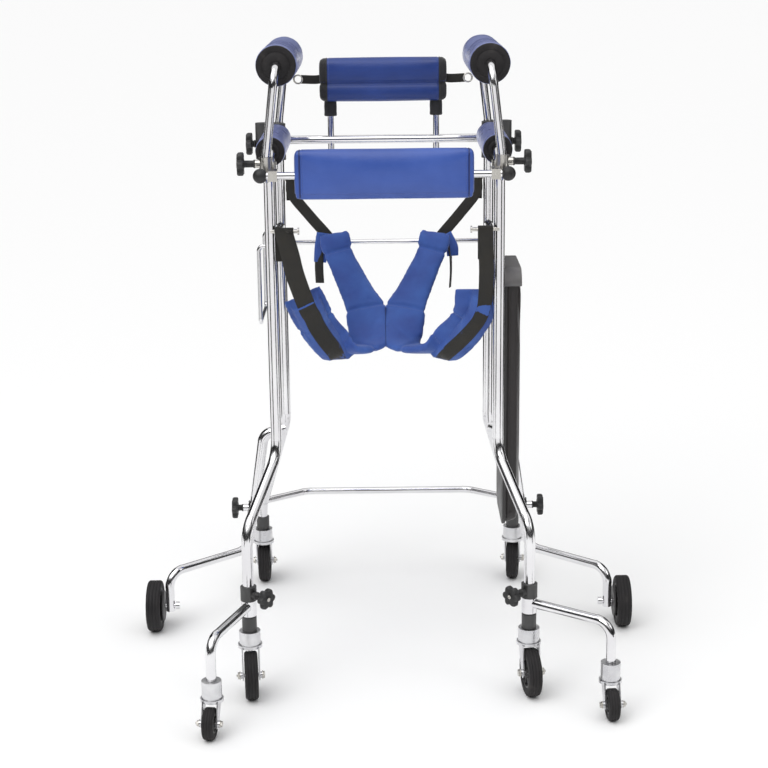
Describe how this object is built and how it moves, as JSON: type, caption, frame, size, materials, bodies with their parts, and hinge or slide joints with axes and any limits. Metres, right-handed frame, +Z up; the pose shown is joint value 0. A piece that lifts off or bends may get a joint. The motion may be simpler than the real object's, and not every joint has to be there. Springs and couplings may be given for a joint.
{
  "type": "walking frame on swivel casters",
  "caption": "Chromed tube walking frame on swivel casters with underarm rollers, armrests, chest and back pads, a saddle sling, side outriggers and a fold-away seat board.",
  "frame": {"origin": "on the floor under the middle of the walker's overall box", "axes": "+Z up, +Y the way the user walks, +X to the user's right"},
  "size_m": [1.048, 0.9122, 1.262],
  "materials": {
    "chromed_tube": "bright chromed steel tube with soft drawn lines and fine handling marks",
    "plated_steel": "plated steel clamps and pegs, satin",
    "zinc_fork": "bright zinc plated pressed steel caster forks",
    "black_plastic": "black moulded nylon with a fine grain and rubbed edges",
    "painted_bracket": "black powder coat on steel straps",
    "wheel_rubber": "dark solid rubber tread on a dark moulded hub, lightly dusty",
    "roller_vinyl": "blue vinyl over a foam roll, black end caps",
    "back_pad_vinyl": "royal blue coated cloth over foam, piped seams",
    "chest_pad_vinyl": "dark royal blue coated cloth in two rolls, black end panels",
    "sling_fabric": "padded royal blue nylon with cross seams",
    "black_webbing": "black woven polyester webbing",
    "seat_vinyl": "black vinyl over a padded board"
  },
  "bodies": {
    "frame": {"rear_leg_left": "chromed_tube", "rear_leg_right": "chromed_tube", "front_leg_left": "chromed_tube", "front_leg_right": "chromed_tube", "side_rails": "chromed_tube", "front_crossbar": "chromed_tube", "middle_crossbar": "chromed_tube", "lower_crossbar": "chromed_tube", "rear_crossbar": "chromed_tube", "bar_end_balls": "black_plastic", "rear_clamps": "plated_steel", "front_clamps": "black_plastic", "lock_collars": "black_plastic", "caster_bushes": "black_plastic", "arm_holder_left": "chromed_tube", "arm_holder_right": "chromed_tube", "armrest_pad_left": "roller_vinyl", "armrest_pad_right": "roller_vinyl", "back_pad": "back_pad_vinyl", "sling_hooks": "plated_steel", "sling_straps": "black_webbing", "sling_pad": "sling_fabric"},
    "caster_rear_left": {"main_fork_rear_left": "zinc_fork"},
    "wheel_rear_left": {"main_wheel_rear_left": "wheel_rubber"},
    "caster_rear_right": {"main_fork_rear_right": "zinc_fork"},
    "wheel_rear_right": {"main_wheel_rear_right": "wheel_rubber"},
    "caster_front_left": {"main_fork_front_left": "zinc_fork"},
    "wheel_front_left": {"main_wheel_front_left": "wheel_rubber"},
    "caster_front_right": {"main_fork_front_right": "zinc_fork"},
    "wheel_front_right": {"main_wheel_front_right": "wheel_rubber"},
    "outrigger_left": {"outrigger_arm_left": "chromed_tube"},
    "small_caster_left": {"small_fork_left": "zinc_fork"},
    "outrigger_wheel_left": {"small_wheel_left": "wheel_rubber"},
    "outrigger_right": {"outrigger_arm_right": "chromed_tube"},
    "small_caster_right": {"small_fork_right": "zinc_fork"},
    "outrigger_wheel_right": {"small_wheel_right": "wheel_rubber"},
    "side_arm_left": {"side_arm_left": "chromed_tube"},
    "side_wheel_left": {"side_wheel_left": "wheel_rubber"},
    "side_arm_right": {"side_arm_right": "chromed_tube"},
    "side_wheel_right": {"side_wheel_right": "wheel_rubber"},
    "underarm_left": {"underarm_tube_left": "chromed_tube", "underarm_pad_left": "roller_vinyl"},
    "underarm_right": {"underarm_tube_right": "chromed_tube", "underarm_pad_right": "roller_vinyl"},
    "chest_rest": {"chest_posts": "chromed_tube", "chest_pad": "chest_pad_vinyl", "chest_tethers": "black_webbing"},
    "seat": {"seat_board": "seat_vinyl", "seat_hinges": "painted_bracket"},
    "seat_rest": {"seat_rest": "chromed_tube"},
    "knob_rear_left": {"knob_rear_left": "black_plastic"},
    "knob_front_left": {"knob_front_left": "black_plastic"},
    "outrigger_knob_left": {"outrigger_knob_left": "black_plastic"},
    "side_knob_left": {"side_knob_left": "black_plastic"},
    "knob_rear_right": {"knob_rear_right": "black_plastic"},
    "knob_front_right": {"knob_front_right": "black_plastic"},
    "outrigger_knob_right": {"outrigger_knob_right": "black_plastic"},
    "side_knob_right": {"side_knob_right": "black_plastic"}
  },
  "joints": [
    {"name": "rear_left_swivel", "type": "hinge", "parent": "frame", "child": "caster_rear_left", "pos_m": [-0.276, -0.22463, 0.11], "axis": [0, 0, 1], "continuous": true},
    {"name": "rear_left_roll", "type": "hinge", "parent": "caster_rear_left", "child": "wheel_rear_left", "pos_m": [-0.2737, -0.24651, 0.048], "axis": [-0.9945, -0.1045, 0], "continuous": true},
    {"name": "rear_right_swivel", "type": "hinge", "parent": "frame", "child": "caster_rear_right", "pos_m": [0.276, -0.22463, 0.11], "axis": [0, 0, 1], "continuous": true},
    {"name": "rear_right_roll", "type": "hinge", "parent": "caster_rear_right", "child": "wheel_rear_right", "pos_m": [0.27944, -0.24636, 0.048], "axis": [0.9877, 0.1564, 0], "continuous": true},
    {"name": "front_left_swivel", "type": "hinge", "parent": "frame", "child": "caster_front_left", "pos_m": [-0.289, 0.37937, 0.11], "axis": [0, 0, 1], "continuous": true},
    {"name": "front_left_roll", "type": "hinge", "parent": "caster_front_left", "child": "wheel_front_left", "pos_m": [-0.289, 0.40137, 0.048], "axis": [1, 0, 0], "continuous": true},
    {"name": "front_right_swivel", "type": "hinge", "parent": "frame", "child": "caster_front_right", "pos_m": [0.289, 0.37937, 0.11], "axis": [0, 0, 1], "continuous": true},
    {"name": "front_right_roll", "type": "hinge", "parent": "caster_front_right", "child": "wheel_front_right", "pos_m": [0.29206, 0.40116, 0.048], "axis": [-0.9903, 0.1392, 0], "continuous": true},
    {"name": "left_outrigger_swing", "type": "hinge", "parent": "frame", "child": "outrigger_left", "pos_m": [-0.276, -0.22463, 0.187], "axis": [0, 0, -1], "range_deg": [-14, 76]},
    {"name": "left_small_swivel", "type": "hinge", "parent": "outrigger_left", "child": "small_caster_left", "pos_m": [-0.33623, -0.39955, 0.1], "axis": [0, 0, 1], "continuous": true},
    {"name": "left_small_roll", "type": "hinge", "parent": "small_caster_left", "child": "outrigger_wheel_left", "pos_m": [-0.3394, -0.42536, 0.031], "axis": [-0.9925, 0.1219, 0], "continuous": true},
    {"name": "right_outrigger_swing", "type": "hinge", "parent": "frame", "child": "outrigger_right", "pos_m": [0.276, -0.22463, 0.187], "axis": [0, 0, 1], "range_deg": [-48, 42]},
    {"name": "right_small_swivel", "type": "hinge", "parent": "outrigger_right", "child": "small_caster_right", "pos_m": [0.42375, -0.33597, 0.1], "axis": [0, 0, 1], "continuous": true},
    {"name": "right_small_roll", "type": "hinge", "parent": "small_caster_right", "child": "outrigger_wheel_right", "pos_m": [0.42556, -0.3619, 0.031], "axis": [0.9976, 0.0698, 0], "continuous": true},
    {"name": "left_side_arm_slide", "type": "slide", "parent": "frame", "child": "side_arm_left", "axis": [0.1512, 0, 0.9885], "range_m": [0, 0.05]},
    {"name": "left_side_wheel_roll", "type": "hinge", "parent": "side_arm_left", "child": "side_wheel_left", "pos_m": [-0.508, 0.10737, 0.055], "axis": [1, 0, 0], "continuous": true},
    {"name": "right_side_arm_slide", "type": "slide", "parent": "frame", "child": "side_arm_right", "axis": [-0.1512, 0, 0.9885], "range_m": [0, 0.05]},
    {"name": "right_side_wheel_roll", "type": "hinge", "parent": "side_arm_right", "child": "side_wheel_right", "pos_m": [0.508, 0.10737, 0.055], "axis": [1, 0, 0], "continuous": true},
    {"name": "left_underarm_slide", "type": "slide", "parent": "frame", "child": "underarm_left", "axis": [0.1186, 0, 0.9929], "range_m": [-0.08, 0]},
    {"name": "right_underarm_slide", "type": "slide", "parent": "frame", "child": "underarm_right", "axis": [-0.1186, 0, 0.9929], "range_m": [-0.08, 0]},
    {"name": "chest_slide", "type": "slide", "parent": "frame", "child": "chest_rest", "axis": [0, 0, 1], "range_m": [-0.035, 0.01]},
    {"name": "seat_swing", "type": "hinge", "parent": "frame", "child": "seat", "pos_m": [0.222, 0.06337, 0.862], "axis": [0, -1, 0], "range_deg": [0, 100]},
    {"name": "seat_rest_swing", "type": "hinge", "parent": "frame", "child": "seat_rest", "pos_m": [-0.222, 0.05637, 0.862], "axis": [0, 1, 0], "range_deg": [0, 90]},
    {"name": "left_knob_rear_turn", "type": "hinge", "parent": "frame", "child": "knob_rear_left", "pos_m": [-0.252, -0.10863, 1.041], "axis": [-1, 0, 0], "range_deg": [0, 360]},
    {"name": "left_knob_front_turn", "type": "hinge", "parent": "frame", "child": "knob_front_left", "pos_m": [-0.278, 0.27137, 1.036], "axis": [-1, 0, 0], "range_deg": [0, 360]},
    {"name": "left_outrigger_knob_turn", "type": "hinge", "parent": "frame", "child": "outrigger_knob_left", "pos_m": [-0.24536, -0.25034, 0.212], "axis": [0.766, -0.6428, 0], "range_deg": [0, 360]},
    {"name": "left_side_knob_turn", "type": "hinge", "parent": "frame", "child": "side_knob_left", "pos_m": [-0.32803, 0.25337, 0.22785], "axis": [-1, 0, 0], "range_deg": [0, 360]},
    {"name": "right_knob_rear_turn", "type": "hinge", "parent": "frame", "child": "knob_rear_right", "pos_m": [0.252, -0.10863, 1.041], "axis": [1, 0, 0], "range_deg": [0, 360]},
    {"name": "right_knob_front_turn", "type": "hinge", "parent": "frame", "child": "knob_front_right", "pos_m": [0.278, 0.27137, 1.036], "axis": [1, 0, 0], "range_deg": [0, 360]},
    {"name": "right_outrigger_knob_turn", "type": "hinge", "parent": "frame", "child": "outrigger_knob_right", "pos_m": [0.24536, -0.25034, 0.212], "axis": [-0.766, -0.6428, 0], "range_deg": [0, 360]},
    {"name": "right_side_knob_turn", "type": "hinge", "parent": "frame", "child": "side_knob_right", "pos_m": [0.32803, 0.25337, 0.22785], "axis": [1, 0, 0], "range_deg": [0, 360]}
  ]
}
